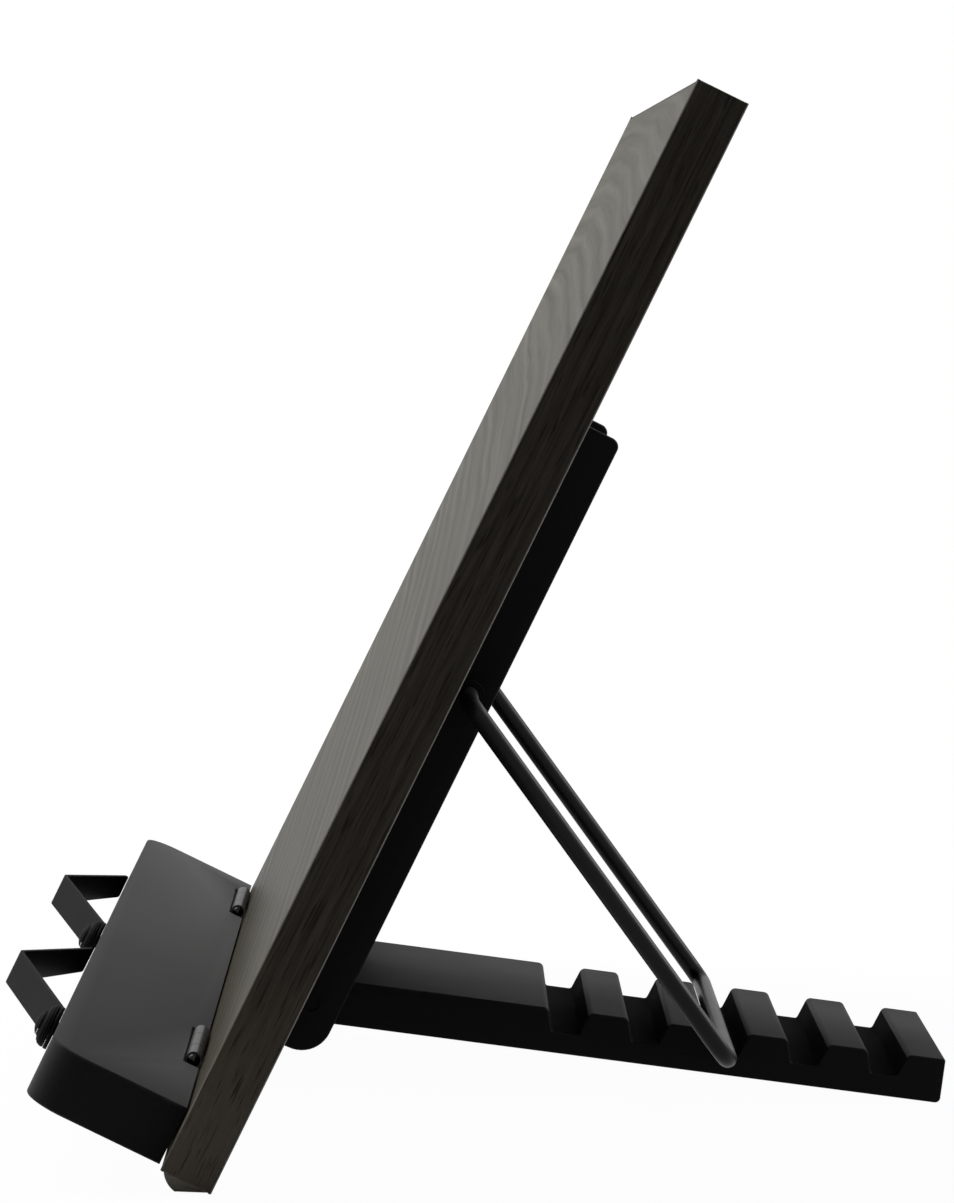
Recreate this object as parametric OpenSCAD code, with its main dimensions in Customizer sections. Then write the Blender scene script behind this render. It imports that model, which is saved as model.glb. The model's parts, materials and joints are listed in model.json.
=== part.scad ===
// Folding book stand: a laminated reading board with a hinged ledge, two sprung
// page holders, and a notched rear foot propped by a round wire strut.
//
// Every piece is drawn in the board's own frame: X across the board, Y from the
// reading face to the back, Z up the board, with zero at the bottom of the
// reading face. stand() then leans that frame back until the rubber feet and the
// end of the rear foot touch the ground, which is Z = 0.

/* [Board] */
// Width of the board
board_w = 340; // [300:1:400]
// Height of the board, measured along its face
board_h = 240; // [220:1:300]
// Thickness of the fibreboard core
core_t = 10; // [9:0.5:14]
// Thickness of the laminate on each face
laminate_t = 0.6; // [0.4:0.1:1]
// Thickness of the edge bands
band_t = 1; // [0.6:0.1:2]
// Rounding of the edge bands' outer arrises
arris_r = 0.8; // [0.3:0.1:0.9]

/* [Rubber feet] */
// Length of each rubber foot under the board
rubber_l = 40; // [20:1:60]
// Width of a rubber foot across the board's thickness
rubber_w = 10; // [6:0.5:10]
// How deep a rubber foot is pressed flat by the ground, under the middle of the board
rubber_squash = 0.6; // [0.3:0.1:1]
// From the board's side to the near end of a rubber foot
rubber_inset = 2; // [1:1:40]
// Gap between the ground and the board's lower rear edge
rear_lift = 0.1; // [0.1:0.1:1]

/* [Back housing] */
// Width of the housing over its cheeks
housing_w = 77; // [60:1:90]
// Height of the housing's top end above the board's bottom
housing_top = 166.6; // [160:0.2:190]
// Height of the housing's lower end above the board's bottom
housing_bottom = 11.5; // [8:0.5:14]
// How far the cheeks stand out from the board's back
housing_depth = 13.8; // [12.6:0.1:16]
// Thickness of the housing's base on the board's back
base_t = 1.6; // [1.4:0.1:2]
// Thickness of each cheek
cheek_t = 4; // [3:0.1:6]
// Height of the sill that closes the channel's lower end
sill_h = 4; // [2:0.1:5]
// Rounding of the cheeks' lower rear corner
heel_r = 7; // [3:0.5:9]
// Rounding of the cheeks' upper rear corner
brow_r = 2; // [1:0.5:4]
// Width of the fixing ear above the housing
ear_w = 20; // [14:1:30]
// Height of the fixing ear above the housing
ear_h = 10; // [8:0.5:14]

/* [Rear foot] */
// Thickness of the foot
foot_h = 10.1; // [9:0.1:10.4]
// Length of the foot from its hinge pin to its end
foot_l = 144; // [136:0.2:160]
// Height of the foot's hinge pin above the board's bottom
foot_hinge_z = 23; // [21.5:0.5:28]
// Diameter of the foot's hinge pin
foot_pin_d = 4; // [3:0.1:5]
// How far the hinge pin's ends lie inside the cheeks' outer faces
pin_recess = 0.5; // [0.2:0.1:1]
// Rounding of the foot's rear end, where it meets the ground
foot_end_r = 1.2; // [0.6:0.1:2]
// Number of notches
notch_n = 5; // [3:1:6]
// The notch that holds the strut, counted from the hinge
rest_notch = 3; // [1:1:6]
// From the hinge pin to the bar's seat in the first notch
first_notch = 57; // [52:0.2:60]
// Step from notch to notch
notch_step = 18.2; // [16:0.1:20]
// Depth of a notch
notch_d = 5.2; // [4.4:0.1:6]
// Width of a notch's floor
notch_floor = 6.1; // [5.6:0.1:7]
// Lean of a notch's front wall
notch_front_lean = 15; // [5:1:25]
// Lean of a notch's rear wall
notch_rear_lean = 20; // [16:1:30]
// Rounding of the lands between the notches
land_r = 1.4; // [0.6:0.1:1.6]

/* [Strut] */
// Diameter of the strut's wire
wire_d = 4.2; // [3.6:0.1:4.4]
// Length of the strut from its pivot to its bar
strut_l = 98.2; // [94:0.1:102]
// Height of the strut's pivot above the board's bottom
strut_pivot_z = 101; // [96:0.5:106]
// From the housing's rear face in to the strut's pivot
pivot_inset = 5.65; // [4.2:0.05:6]
// Bend radius at the strut's bar
bar_bend_r = 5; // [4:0.1:7]
// Bend radius at the strut's pivots
pivot_bend_r = 3; // [2.6:0.1:4]
// From a collar's inner face out to the strut's leg
strut_reach = 16.8; // [6:0.1:24]
// Diameter of the collars that keep the strut between the cheeks
collar_d = 7; // [6:0.1:8]
// Thickness of the collars
collar_t = 2; // [1:0.1:3]

/* [Ledge] */
// Width of the ledge
ledge_w = 330; // [310:1:400]
// Depth of the ledge from front to rear
ledge_d = 30.2; // [26:0.2:45]
// Thickness of the ledge
ledge_t = 12.7; // [12:0.1:16]
// Rounding of the ledge's front corners
ledge_r = 8.5; // [8:0.5:22]
// Gap between the ledge and the board
ledge_gap = 0.5; // [0.5:0.1:2]

/* [Ledge hinges] */
// Where the middle of the first hinge lies across the board
hinge_x = 97; // [80:1:110]
// Step from the first hinge to the second one
hinge_step = 222; // [190:1:226]
// Length of a hinge's barrel
barrel_l = 34; // [32:1:60]
// Outer diameter of a hinge's barrel
barrel_d = 3.5; // [3.2:0.1:4]
// Diameter of a hinge's pin
hinge_pin_d = 1.8; // [1.4:0.1:2]
// Thickness of a hinge's leaf
leaf_t = 0.8; // [0.6:0.1:0.8]
// Length of the ledge leaf's knuckle, in the middle of the barrel
middle_knuckle_l = 14; // [10:1:20]
// Radius of the domed ends of a hinge's pin
dome_r = 1.4; // [1.1:0.1:1.5]
// Height of a leaf's lower edge above the ledge's underside
leaf_bottom_z = 1.4; // [1:0.1:2]
// From the middle of a hinge to each of its screws
leaf_screw_x = 11; // [8:1:13]
// Room in the ledge past each domed end of a hinge's pin
trough_room = 3; // [0.3:0.1:8]

/* [Page holders] */
// Where the first holder's post stands across the board
holder_x = 112; // [100:1:120]
// Step from the first holder to the second one
holder_step = 125; // [110:1:150]
// Height of the posts above the ledge's underside
post_z = 5.8; // [5.8:0.1:7]
// Diameter of a post's screw
post_d = 3; // [3:0.1:5]
// Diameter of a post's head
post_head_d = 5.8; // [5.6:0.1:9]
// Height of a post's head
post_head_h = 1; // [0.8:0.1:2.5]
// Outer diameter of a threaded insert in the ledge
insert_d = 6; // [5.6:0.1:7]
// Length of a threaded insert
insert_l = 11; // [8:0.5:14]
// How far a post stops short of its insert's inner end
post_short = 1; // [0.5:0.1:2]
// Width of a holder's strip
strip_w = 7.8; // [7:0.1:9.6]
// Width of a holder's strip at its tip
tip_w = 6; // [5:0.1:7]
// Thickness of a holder's strip
strip_t = 0.9; // [0.8:0.1:1.6]
// Diameter of the eye round the post
eye_d = 9.6; // [9.6:0.2:11.6]
// From the post to the strip's bend
bend_x = 46; // [40:1:60]
// From the strip's bend to its tip
tip_x = 50; // [34:1:56]
// How far the middle of the strip stands off the ledge at its bend
bend_f = 14.2; // [12:0.1:18]
// How far the strip's tip stands off the ledge
tip_f = 0.1; // [0.1:0.1:4]
// Rounding of the corners at the strip's tip
tip_r = 1; // [0.5:0.1:2.4]
// Radius of the strip's bends
strip_bend_r = 4; // [2:0.5:6]

/* [Springs] */
// Wire diameter of a holder's spring
coil_wire_d = 0.5; // [0.4:0.05:0.8]
// Mean diameter of a spring's widest turn
coil_d = 8; // [7.4:0.1:8.4]
// From a post to the middle of the spring's narrowest turn
coil_room = 1.3; // [1.2:0.1:1.6]
// Gap between a spring's turns along its post
coil_air = 0.46; // [0.45:0.01:0.6]
// Number of turns in a spring
coil_turns = 2; // [2:1:3]

/* [Screws] */
// Shank diameter of the housing's screws
housing_screw_d = 3; // [2.5:0.1:3.5]
// Head diameter of the housing's screws
housing_screw_head_d = 5.8; // [5:0.1:6.4]
// Length of the housing's screws
housing_screw_l = 9.5; // [7:0.1:10]
// From the middle of the housing to its screws
housing_screw_x = 18; // [10:1:24]
// From the housing's lower end up to its lower screws
lower_screw_z = 32; // [28:1:40]
// From the housing's top end down to its upper screws
upper_screw_z = 16; // [10:1:24]
// Shank diameter of the hinges' screws
leaf_screw_d = 2.4; // [2:0.1:2.8]
// Head diameter of the hinges' screws
leaf_screw_head_d = 4.2; // [3.6:0.1:4.6]
// Length of the hinges' screws
leaf_screw_l = 8; // [6:0.1:9]

/* [Fits] */
// Radial clearance of a pin or wire that turns in its hole
running_gap = 0.06; // [0.02:0.01:0.1]
// Radial clearance of a screw or insert in its hole
screw_gap = 0.03; // [0.01:0.01:0.1]
// Gap between faces that pass each other
face_gap = 0.3; // [0.2:0.05:0.5]
// Gap on each face of a holder's eye, to the ledge and to the spring
eye_gap = 0.1; // [0.05:0.05:0.3]
// Gap on each side of the foot in the housing's channel
foot_side_gap = 0.6; // [0.4:0.1:1]
// Gap between the strut's collars and the housing's cheeks
strut_side_gap = 0.6; // [0.4:0.1:1]
// Gap between the strut's bar and the notch that holds it
seat_gap = 0.15; // [0.1:0.05:0.3]

/* [Hidden] */
$fn = 48;
// Extra length by which a cut passes the surface it opens
over = 1;

// Board
board_t = core_t + 2 * laminate_t;
panel_w = board_w - 2 * band_t;
panel_h = board_h - 2 * band_t;

// Housing
channel_w = housing_w - 2 * cheek_t;
channel_y = board_t + base_t;
housing_y = board_t + housing_depth;
housing_screw_zs = [housing_bottom + lower_screw_z, housing_top - upper_screw_z];
ear_r = min(ear_w, ear_h) / 2;
ear_z = housing_top + ear_h / 2;

// Rear foot, about its hinge pin
foot_w = channel_w - 2 * foot_side_gap;
foot_hinge_y = channel_y + face_gap + foot_h / 2;
wire_r = wire_d / 2;
bar_z = foot_h / 2 - notch_d + seat_gap + wire_r;
notch_ys = [for (i = [0 : notch_n - 1]) first_notch + i * notch_step];
rest_y = first_notch + (min(rest_notch, notch_n) - 1) * notch_step;

// Strut: the triangle of foot, strut and board sets the foot's angle at rest
strut_pivot_y = housing_y - pivot_inset;
collar_x = housing_w / 2 + strut_side_gap;
leg_x = collar_x + strut_reach + wire_r;
pivot_inner_x = channel_w / 2;
pivot_rise = norm([strut_pivot_y - foot_hinge_y, strut_pivot_z - foot_hinge_z]);
pivot_angle = atan2(strut_pivot_z - foot_hinge_z, strut_pivot_y - foot_hinge_y);
bar_reach = norm([rest_y, bar_z]);
bar_lift = atan2(bar_z, rest_y);
prop_angle = acos((pow(pivot_rise, 2) + pow(bar_reach, 2) - pow(strut_l, 2)) / (2 * pivot_rise * bar_reach));
foot_angle = pivot_angle - prop_angle - bar_lift;
bar_at = foot_point(rest_y, bar_z);
strut_angle = atan2(bar_at[1] - strut_pivot_z, bar_at[0] - strut_pivot_y);

// Unit vector at angle a
function heading(a) = [cos(a), sin(a)];

// Where a point of the foot, y along it and z above its pin, lies in the board's frame
function foot_point(y, z) = [
    foot_hinge_y + y * cos(foot_angle) - z * sin(foot_angle),
    foot_hinge_z + y * sin(foot_angle) + z * cos(foot_angle)
];

// Ledge and its hinges
ledge_rear_y = -ledge_gap;
ledge_front_y = ledge_rear_y - ledge_d;
ledge_leaf_y = -max(ledge_gap, leaf_t + face_gap);
hinge_xs = [hinge_x - hinge_step, hinge_x];
barrel_r = barrel_d / 2;
hinge_y = -barrel_r - face_gap;
hinge_z = ledge_t + face_gap;
trough_l = barrel_l + 2 * (dome_r + trough_room);
leaf_screw_z = (leaf_bottom_z + hinge_z - barrel_r) / 2;
outer_knuckle_l = (barrel_l - middle_knuckle_l) / 2 - face_gap;

// Page holders, by how far each face stands off the ledge's front
holder_xs = [holder_x, holder_x - holder_step];
eye_f = eye_gap;
coil_f = eye_f + strip_t + eye_gap;
coil_pitch = coil_wire_d + coil_air;
coil_l = coil_turns * coil_pitch + coil_wire_d;
head_f = coil_f + coil_l + screw_gap;
post_l = head_f + insert_l - post_short;
eye_middle_f = eye_f + strip_t / 2;
arm_tip = [-bend_x - tip_x, tip_f + strip_t / 2];
bend_steps = 5;
arm_path = concat(
    [[eye_d / 2, eye_middle_f]],
    bend([eye_d / 2, eye_middle_f], [-eye_d / 2, eye_middle_f], [-bend_x, bend_f], strip_bend_r),
    bend([-eye_d / 2, eye_middle_f], [-bend_x, bend_f], arm_tip, strip_bend_r),
    [arm_tip]
);

// Points that round the corner at b, on the way from a to c, with radius r
function bend(a, b, c, r) = let (
    u = unit(a - b),
    v = unit(c - b),
    half = acos(u * v) / 2,
    middle = b + r / sin(half) * unit(u + v),
    start = b + r / tan(half) * u - middle,
    turn = (180 - 2 * half) * sign(cross(u, v))
) [for (i = [0 : bend_steps]) middle + turned(start, -turn * i / bend_steps)];
function turned(p, a) = [p[0] * cos(a) - p[1] * sin(a), p[0] * sin(a) + p[1] * cos(a)];

// Lean of the board: the ground passes just under its lower rear edge and touches the foot's rear end
end_at = foot_point(foot_l - foot_end_r, foot_end_r - foot_h / 2);
ground_run = [end_at[0] - board_t, end_at[1] + rear_lift];
lean = atan2(ground_run[1], ground_run[0]) - asin(foot_end_r / norm(ground_run));

// Rubber feet: a strip of round section under the board, pressed flat by the ground
rubber_y = board_t / 2;
rubber_h = rear_lift + (board_t - rubber_y) * tan(lean) + rubber_squash;
rubber_r = (pow(rubber_w / 2, 2) + pow(rubber_h, 2)) / (2 * rubber_h);

// How far back and how high a point of the board's frame lies once it leans
function back(p) = p[0] * cos(lean) + p[1] * sin(lean);
function height(p) = p[1] * cos(lean) - p[0] * sin(lean);
arm_outside = beside(arm_path, -strip_t / 2);
arm_reach = max([for (p = arm_outside) p[1]]);
front_reach = back([ledge_front_y - arm_reach, post_z - strip_w / 2]);
rear_reach = max(back(foot_point(foot_l, foot_h / 2)), back(end_at) + foot_end_r);
shift_y = -(front_reach + rear_reach) / 2;
shift_z = -height([board_t, -rear_lift]);

// Points beside a path of straight stretches, at distance d, mitred at its bends
function unit(v) = v / norm(v);
function side(a, b) = [-(b - a)[1], (b - a)[0]] / norm(b - a);
function beside(path, d) = [
    for (i = [0 : len(path) - 1])
        let (
            a = side(path[max(i - 1, 0)], path[max(i, 1)]),
            b = side(path[min(i, len(path) - 2)], path[min(i + 1, len(path) - 1)]),
            m = unit(a + b)
        )
        path[i] + m * d / (m * a)
];

// Spring: a helix that narrows toward its post's head, with both ends turned in square to the post
coil_bend_r = coil_wire_d;
turn_rings = 8;
coil_rings = turn_rings * coil_turns;
end_rings = 4;
coil_sides = 6;
coil_wide_r = coil_d / 2;
coil_narrow_r = post_d / 2 + coil_room;
coil_slope = atan(coil_pitch * 180 / PI / 360 / coil_wide_r);
function coil_out(a) = [cos(a), sin(a), 0];
function coil_along(a) = [-sin(a) * cos(coil_slope), cos(a) * cos(coil_slope), sin(coil_slope)];
function coil_r(i) = coil_wide_r + (coil_narrow_r - coil_wide_r) * i / coil_rings;
function coil_z(i) = coil_wire_d / 2 + coil_turns * coil_pitch * i / coil_rings;
// A ring is [middle, outward direction, direction of the wire]
function coil_ring(i) = let (a = i * 360 / turn_rings)
    [coil_out(a) * coil_r(i) + [0, 0, coil_z(i)], coil_out(a), coil_along(a)];
// An end turns in from ring i until it points at the post, then runs straight to it; way is 1 or -1
function coil_end(i, way) = let (
    out = coil_ring(i)[1],
    along = way * [-out[1], out[0], 0],
    inner = coil_r(i) - coil_bend_r,
    turn = acos(-coil_bend_r / inner),
    up = [0, 0, coil_z(i)],
    aim = -unit((inner + coil_bend_r * cos(turn)) * out + coil_bend_r * sin(turn) * along),
    tip = -aim * (post_d / 2 + screw_gap)
) concat(
    [
        for (j = [1 : end_rings])
            let (f = turn * j / end_rings, o = cos(f) * out + sin(f) * along)
            [inner * out + coil_bend_r * o + up, o, way * (cos(f) * along - sin(f) * out)]
    ],
    [[tip + up, cos(turn) * out + sin(turn) * along, way * aim]]
);
coil_start = coil_end(0, -1);
coil_path = concat(
    [for (j = [end_rings : -1 : 0]) coil_start[j]],
    [for (i = [0 : coil_rings]) coil_ring(i)],
    coil_end(coil_rings, 1)
);
// Least gap of the spring to itself, between points over half a turn apart
parts_per_ring = 4;
coil_line = [
    for (i = [0 : len(coil_path) - 2], t = [0 : parts_per_ring - 1])
        coil_path[i][0] + (coil_path[i + 1][0] - coil_path[i][0]) * t / parts_per_ring
];
half_turn = parts_per_ring * (turn_rings / 2 + 1);
coil_self_gap = min([
    for (i = [0 : len(coil_line) - half_turn - 1], j = [i + half_turn : len(coil_line) - 1])
        norm(coil_line[i] - coil_line[j]) - coil_wire_d
]);
echo(spring_self_gap = coil_self_gap);

// Frames

// The whole stand, leaned back and set on the ground
module stand() {
    translate([0, shift_y, shift_z]) rotate([-lean, 0, 0]) children();
}

// The rear foot's frame: its hinge pin at the origin and Y along it
module at_foot() {
    translate([0, foot_hinge_y, foot_hinge_z]) rotate([foot_angle, 0, 0]) children();
}

// A holder's frame: its post on Z, which points forward off the ledge, and Y up
module at_holder(i) {
    translate([holder_xs[i], ledge_front_y, post_z]) rotate([90, 0, 0]) children();
}

// Shapes that repeat

// A shape drawn in Y and Z, drawn out to width w across the middle
module across(w) {
    translate([-w / 2, 0, 0]) rotate([90, 0, 90]) linear_extrude(w) children();
}

// A rod along X, of length l, centred
module rod_x(d, l) {
    rotate([0, 90, 0]) cylinder(d = d, h = l, center = true);
}

// A countersunk screw with its head's face at Z = 0, pointing down; grow widens it to a hole
module flat_screw(d, head_d, head_h, l, grow = 0) {
    translate([0, 0, -l]) cylinder(d = d + 2 * grow, h = l);
    translate([0, 0, -head_h]) cylinder(d1 = d + 2 * grow, d2 = head_d + 2 * grow, h = head_h);
}

// The places of the housing's four screws, driven forward into the board
module at_housing_screws() {
    for (x = [-housing_screw_x, housing_screw_x], z = housing_screw_zs)
        translate([x, channel_y, z]) rotate([-90, 0, 0]) children();
}

// The place of the screw in the housing's ear
module at_ear_screw() {
    translate([0, channel_y, ear_z]) rotate([-90, 0, 0]) children();
}

// The places of the hinges' screws, on a leaf's face at y; turn aims them
module at_leaf_screws(y, turn) {
    for (h = hinge_xs, x = [-leaf_screw_x, leaf_screw_x])
        translate([h + x, y, leaf_screw_z]) rotate([turn, 0, 0]) children();
}

module housing_screw(grow = 0) {
    flat_screw(housing_screw_d, housing_screw_head_d, base_t, housing_screw_l, grow);
}

module leaf_screw(grow = 0) {
    flat_screw(leaf_screw_d, leaf_screw_head_d, leaf_t, leaf_screw_l, grow);
}

// Every screw hole in the board
module board_holes() {
    at_housing_screws() housing_screw(screw_gap);
    at_ear_screw() housing_screw(screw_gap);
    at_leaf_screws(-leaf_t, 90) leaf_screw(screw_gap);
}

// A sheet of the board between its bands, from y on
module panel(y, t) {
    difference() {
        translate([-panel_w / 2, y, band_t]) cube([panel_w, t, panel_h]);
        board_holes();
    }
}

// Section of an edge band, its outer face at X = 0 and rounded along both arrises
module band_section() {
    difference() {
        square([band_t, board_t]);
        mirror([1, 0]) corner_cut(arris_r);
        translate([0, board_t]) rotate(180) corner_cut(arris_r);
    }
}

// An edge band lying along Z
module edge_band(l) {
    linear_extrude(l) band_section();
}

// Board

module board_core() {
    color("#7a5c3e") stand() panel(laminate_t, core_t);
}

module front_laminate() {
    color("#55504a") stand() panel(0, laminate_t);
}

module back_laminate() {
    color("#3a3632") stand() panel(laminate_t + core_t, laminate_t);
}

module edge_band_left() {
    color("#2c2622") stand() translate([-board_w / 2, 0, 0]) edge_band(board_h);
}

module edge_band_right() {
    color("#2c2622") stand() translate([board_w / 2, 0, 0]) mirror([1, 0, 0]) edge_band(board_h);
}

module edge_band_top() {
    color("#2c2622") stand()
        translate([-panel_w / 2, 0, board_h]) rotate([0, 90, 0]) edge_band(panel_w);
}

module edge_band_bottom() {
    color("#2c2622") stand()
        translate([panel_w / 2, 0, 0]) rotate([0, -90, 0]) edge_band(panel_w);
}

// A rubber foot between the board's bottom edge and the ground, at the side s of the board
module rubber_foot(s) {
    color("#1c1c1c") stand()
        translate([s * (board_w / 2 - rubber_inset - rubber_l / 2), 0, 0]) across(rubber_l)
            difference() {
                intersection() {
                    translate([rubber_y, rubber_r - rubber_h]) circle(rubber_r);
                    translate([rubber_y - rubber_w / 2, -rubber_h]) square([rubber_w, rubber_h]);
                }
                translate([board_t, -rear_lift]) rotate(lean)
                    translate([-2 * board_t, -board_t]) square([4 * board_t, board_t]);
            }
}

// Back housing

// Side view of the cheeks: square at the board, rounded at the back
module cheek_outline() {
    difference() {
        translate([board_t, housing_bottom]) square([housing_depth, housing_top - housing_bottom]);
        translate([housing_y, housing_bottom]) corner_cut(heel_r);
        translate([housing_y, housing_top]) mirror([0, 1]) corner_cut(brow_r);
    }
}

// What rounding takes off a square corner that points to +X and -Y
module corner_cut(r) {
    difference() {
        translate([-r, -over]) square([r + over, r + over]);
        translate([-r, r]) circle(r);
    }
}

// The channel that takes the folded foot, open behind and at the top
module channel() {
    translate([-channel_w / 2, channel_y, housing_bottom + sill_h])
        cube([channel_w, housing_depth, housing_top]);
}

// A tab with a round top, flat on the board's back
module ear() {
    translate([0, channel_y, housing_top]) rotate([90, 0, 0]) linear_extrude(base_t) {
        translate([-ear_w / 2, -over]) square([ear_w, over + ear_h - ear_r]);
        translate([-ear_w / 2 + ear_r, 0]) square([ear_w - 2 * ear_r, ear_h]);
        for (x = [-1, 1])
            translate([x * (ear_w / 2 - ear_r), ear_h - ear_r]) circle(ear_r);
    }
}

module back_housing() {
    color("#141414") stand() difference() {
        union() {
            difference() {
                across(housing_w) cheek_outline();
                channel();
            }
            ear();
        }
        translate([0, foot_hinge_y, foot_hinge_z]) rod_x(foot_pin_d + 2 * screw_gap, housing_w + over);
        translate([0, strut_pivot_y, strut_pivot_z]) rod_x(wire_d + 2 * running_gap, housing_w + over);
        at_housing_screws() housing_screw(screw_gap);
        at_ear_screw() housing_screw(screw_gap);
    }
}

module housing_screws() {
    color("#8a8a8a") stand() at_housing_screws() housing_screw();
}

module ear_screw() {
    color("#8a8a8a") stand() at_ear_screw() housing_screw();
}

module foot_hinge_pin() {
    color("#222222") stand() translate([0, foot_hinge_y, foot_hinge_z])
        rod_x(foot_pin_d, housing_w - 2 * pin_recess);
}

// Rear foot

// What rounding takes off the corner at p between edges leaving at angles a and b
module round_off(p, a, b, r) {
    half = (b - a) / 2;
    reach = r + over;
    translate(p + r / sin(half) * heading(a + half)) difference() {
        polygon([
            [0, 0], reach * heading(a - 90),
            -reach / sin(half) * heading(a + half), reach * heading(b + 90)
        ]);
        circle(r);
    }
}

// One notch, with the seated bar's middle at Y = 0 and the foot's top at Z = 0
module notch() {
    front = -wire_r - seat_gap;
    rear = front + notch_floor;
    front_top = front - notch_d * tan(notch_front_lean);
    rear_top = rear + notch_d * tan(notch_rear_lean);
    polygon([
        [front, -notch_d], [rear, -notch_d],
        [rear_top, 0], [rear_top, over], [front_top, over], [front_top, 0]
    ]);
    round_off([front_top, 0], 180, 270 + notch_front_lean, land_r);
    round_off([rear_top, 0], -90 - notch_rear_lean, 0, land_r);
}

// Side view of the foot, about its hinge pin
module foot_outline() {
    difference() {
        union() {
            circle(d = foot_h);
            translate([0, -foot_h / 2]) square([foot_l, foot_h]);
        }
        translate([foot_l, -foot_h / 2]) corner_cut(foot_end_r);
        for (y = notch_ys)
            translate([y, foot_h / 2]) notch();
    }
}

module rear_foot() {
    color("#1a1a1a") stand() at_foot() difference() {
        across(foot_w) foot_outline();
        rod_x(foot_pin_d + 2 * running_gap, foot_w + over);
    }
}

// Strut

// Half of the strut, flat, with its pivot on X and its leg along Y
module half_strut() {
    translate([pivot_inner_x, 0, 0]) rotate([0, 90, 0])
        cylinder(d = wire_d, h = leg_x - pivot_bend_r - pivot_inner_x);
    translate([collar_x, 0, 0]) rotate([0, 90, 0]) cylinder(d = collar_d, h = collar_t);
    translate([leg_x - pivot_bend_r, pivot_bend_r, 0]) rotate([0, 0, -90]) elbow(pivot_bend_r);
    translate([leg_x, pivot_bend_r, 0]) rotate([-90, 0, 0])
        cylinder(d = wire_d, h = strut_l - pivot_bend_r - bar_bend_r);
    translate([leg_x - bar_bend_r, strut_l - bar_bend_r, 0]) elbow(bar_bend_r);
    translate([0, strut_l, 0]) rotate([0, 90, 0]) cylinder(d = wire_d, h = leg_x - bar_bend_r);
}

// A quarter turn of wire
module elbow(r) {
    rotate_extrude(angle = 90) translate([r, 0]) circle(d = wire_d);
}

module strut() {
    color("#222222") stand()
        translate([0, strut_pivot_y, strut_pivot_z]) rotate([strut_angle, 0, 0]) {
            half_strut();
            mirror([1, 0, 0]) half_strut();
        }
}

// Ledge

// Plan of the ledge, with rounded front corners
module ledge_plan() {
    difference() {
        translate([-ledge_w / 2, ledge_front_y]) square([ledge_w, ledge_d]);
        for (side = [0, 1])
            mirror([side, 0]) translate([ledge_w / 2, ledge_front_y]) corner_cut(ledge_r);
    }
}

// Room in the ledge for one hinge: its leaf behind, its barrel in a trough above
module hinge_seat() {
    translate([-barrel_l / 2 - face_gap, ledge_leaf_y - leaf_t, leaf_bottom_z - face_gap])
        cube([barrel_l + 2 * face_gap, ledge_rear_y - ledge_leaf_y + leaf_t + over, ledge_t]);
    translate([0, hinge_y, hinge_z]) rod_x(barrel_d + 2 * face_gap, trough_l);
    translate([-trough_l / 2, hinge_y, hinge_z - barrel_r - face_gap])
        cube([trough_l, barrel_d, barrel_d]);
}

module ledge() {
    color("#2b2b2b") stand() difference() {
        linear_extrude(ledge_t) ledge_plan();
        for (x = hinge_xs)
            translate([x, 0, 0]) hinge_seat();
        at_leaf_screws(ledge_leaf_y, -90) leaf_screw(screw_gap);
        for (i = [0, 1])
            at_holder(i) translate([0, 0, -insert_l])
                cylinder(d = insert_d + 2 * screw_gap, h = insert_l + over);
    }
}

// Ledge hinges

// The board's leaf with its two outer knuckles
module board_leaf(x) {
    color("#b8b8b8") stand() difference() {
        translate([x, 0, 0]) difference() {
            union() {
                translate([-barrel_l / 2, -leaf_t, leaf_bottom_z])
                    cube([barrel_l, leaf_t, hinge_z - leaf_bottom_z]);
                for (s = [-1, 1])
                    translate([s * (barrel_l - outer_knuckle_l) / 2, hinge_y, hinge_z])
                        rod_x(barrel_d, outer_knuckle_l);
            }
            translate([-middle_knuckle_l / 2 - face_gap, -barrel_d - over, hinge_z - barrel_r - face_gap])
                cube([middle_knuckle_l + 2 * face_gap, barrel_d + 2 * over, barrel_d + over]);
            translate([0, hinge_y, hinge_z]) rod_x(hinge_pin_d + 2 * screw_gap, barrel_l + over);
        }
        at_leaf_screws(-leaf_t, 90) leaf_screw(screw_gap);
    }
}

// The ledge's leaf with its middle knuckle
module ledge_leaf(x) {
    color("#b8b8b8") stand() difference() {
        translate([x, 0, 0]) difference() {
            union() {
                translate([-barrel_l / 2, ledge_leaf_y - leaf_t, leaf_bottom_z])
                    cube([barrel_l, leaf_t, hinge_z - barrel_r - face_gap - leaf_bottom_z]);
                translate([-middle_knuckle_l / 2, ledge_leaf_y - leaf_t, leaf_bottom_z])
                    cube([middle_knuckle_l, leaf_t, hinge_z - leaf_bottom_z]);
                translate([0, hinge_y, hinge_z]) rod_x(barrel_d, middle_knuckle_l);
            }
            translate([0, hinge_y, hinge_z]) rod_x(hinge_pin_d + 2 * running_gap, barrel_l);
        }
        at_leaf_screws(ledge_leaf_y, -90) leaf_screw(screw_gap);
    }
}

// A hinge's pin, with a domed end standing out at each side
module hinge_pin(x) {
    color("#6f6f6f") stand() translate([x, hinge_y, hinge_z]) {
        rod_x(hinge_pin_d, barrel_l);
        for (s = [0, 1])
            mirror([s, 0, 0]) translate([barrel_l / 2, 0, 0]) rotate([0, 90, 0]) pin_dome();
    }
}

// Half of a ball, cut off by the barrel's end face
module pin_dome() {
    rotate_extrude() intersection() {
        circle(dome_r);
        square(dome_r);
    }
}

module board_leaf_screws() {
    color("#9a9a9a") stand() at_leaf_screws(-leaf_t, 90) leaf_screw();
}

module ledge_leaf_screws() {
    color("#9a9a9a") stand() at_leaf_screws(ledge_leaf_y, -90) leaf_screw();
}

// Page holders

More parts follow.
